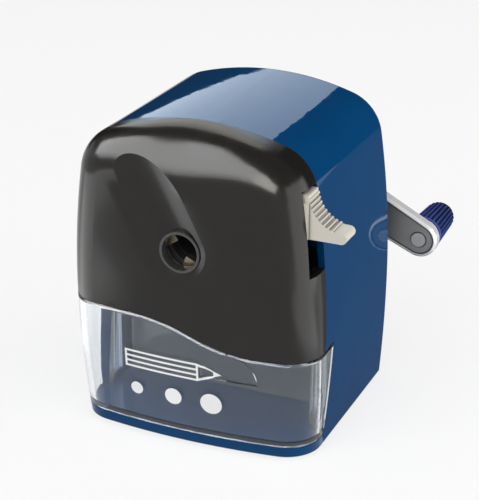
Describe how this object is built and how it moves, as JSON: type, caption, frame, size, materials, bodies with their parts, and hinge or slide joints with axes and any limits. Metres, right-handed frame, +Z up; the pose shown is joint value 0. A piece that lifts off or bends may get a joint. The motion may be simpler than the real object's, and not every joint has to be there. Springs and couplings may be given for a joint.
{
  "type": "crank pencil sharpener",
  "caption": "Desk pencil sharpener with a rear hand crank, an arched casing, a clear front drawer, a spring lever that opens gripping jaws, and a geared helical cutter.",
  "frame": {"origin": "centre of the casing's base, midway between its front foot and its rear wall, on the surface it stands on", "axes": "+Z up, -Y towards the user at the pencil inlet, +Y towards the crank, +X to the right as the user faces it"},
  "size_m": [0.0967, 0.1179, 0.107],
  "materials": {
    "blue_plastic": "high gloss moulded",
    "dark_plastic": "satin moulded",
    "clear_plastic": "clear, slightly smoked",
    "light_plastic": "satin moulded",
    "ring_plastic": "satin moulded",
    "lever_plastic": "fine matt moulded",
    "inner_plastic": "matt moulded",
    "gear_plastic": "matt moulded",
    "navy_plastic": "satin moulded",
    "jaw_steel": "pressed sheet",
    "steel": "bright drawn",
    "cutter_steel": "ground",
    "bush_brass": "turned",
    "arm_metal": "die cast, satin face with bright edges",
    "rubber": "matt"
  },
  "bodies": {
    "base": {"housing": "blue_plastic", "front_cover": "dark_plastic", "inlet_ring": "ring_plastic", "jaw_pins": "steel", "bearing_plate": "inner_plastic", "ring_gear": "gear_plastic", "frame_screws": "steel", "rear_bush": "bush_brass", "shavings_chute": "inner_plastic", "rubber_feet": "rubber", "lever_spring": "steel", "spring_post": "steel"},
    "drawer": {"drawer": "clear_plastic"},
    "lever": {"jaw_lever": "lever_plastic", "spring_lug_pin": "steel"},
    "jaw_a": {"jaw_1": "jaw_steel"},
    "jaw_b": {"jaw_2": "jaw_steel"},
    "jaw_c": {"jaw_3": "jaw_steel"},
    "cutter_head": {"cutter_carrier": "gear_plastic", "cutter_axle": "steel", "crank_shaft": "steel", "shaft_clip": "steel", "crank_arm": "arm_metal", "crank_screw": "steel", "knob_rivet": "steel", "knob_washer": "light_plastic"},
    "cutter_set": {"cutter": "cutter_steel", "cutter_pinion": "cutter_steel"},
    "knob_body": {"knob": "navy_plastic"}
  },
  "joints": [
    {"name": "drawer_pull", "type": "slide", "parent": "base", "child": "drawer", "axis": [0, -1, 0], "range_m": [0, 0.045]},
    {"name": "lever_press", "type": "hinge", "parent": "base", "child": "lever", "pos_m": [0, -0.0319, 0.0692], "axis": [0, 1, 0], "range_deg": [0, 16], "stiffness_Nm_per_rad": 0.12, "springref_deg": -20.05, "deforming": ["lever_spring"]},
    {"name": "jaw_1_swing", "type": "hinge", "parent": "base", "child": "jaw_a", "pos_m": [0.00145, -0.03465, 0.08574], "axis": [0, 1, 0], "range_deg": [-13.7, 0]},
    {"name": "jaw_2_swing", "type": "hinge", "parent": "base", "child": "jaw_b", "pos_m": [-0.01504, -0.03465, 0.06218], "axis": [0, 1, 0], "range_deg": [-13.7, 0]},
    {"name": "jaw_3_swing", "type": "hinge", "parent": "base", "child": "jaw_c", "pos_m": [0.0136, -0.03465, 0.05968], "axis": [0, 1, 0], "range_deg": [-13.7, 0]},
    {"name": "crank_turn", "type": "hinge", "parent": "base", "child": "cutter_head", "pos_m": [0, 0.04, 0.0692], "axis": [0, 1, 0], "continuous": true},
    {"name": "cutter_turn", "type": "hinge", "parent": "cutter_head", "child": "cutter_set", "pos_m": [0, 0.04711, 0.0692], "axis": [0, 0.9799, 0.1994], "continuous": true},
    {"name": "knob_turn", "type": "hinge", "parent": "cutter_head", "child": "knob_body", "pos_m": [0.04768, 0.06, 0.04605], "axis": [0, 1, 0], "continuous": true}
  ],
  "couplings": [
    {"joint": "jaw_1_swing", "follows": "lever_press", "ratio": -0.81349},
    {"joint": "jaw_2_swing", "follows": "lever_press", "ratio": -0.81349},
    {"joint": "jaw_3_swing", "follows": "lever_press", "ratio": -0.81349},
    {"joint": "cutter_turn", "follows": "crank_turn", "ratio": -3.6}
  ]
}
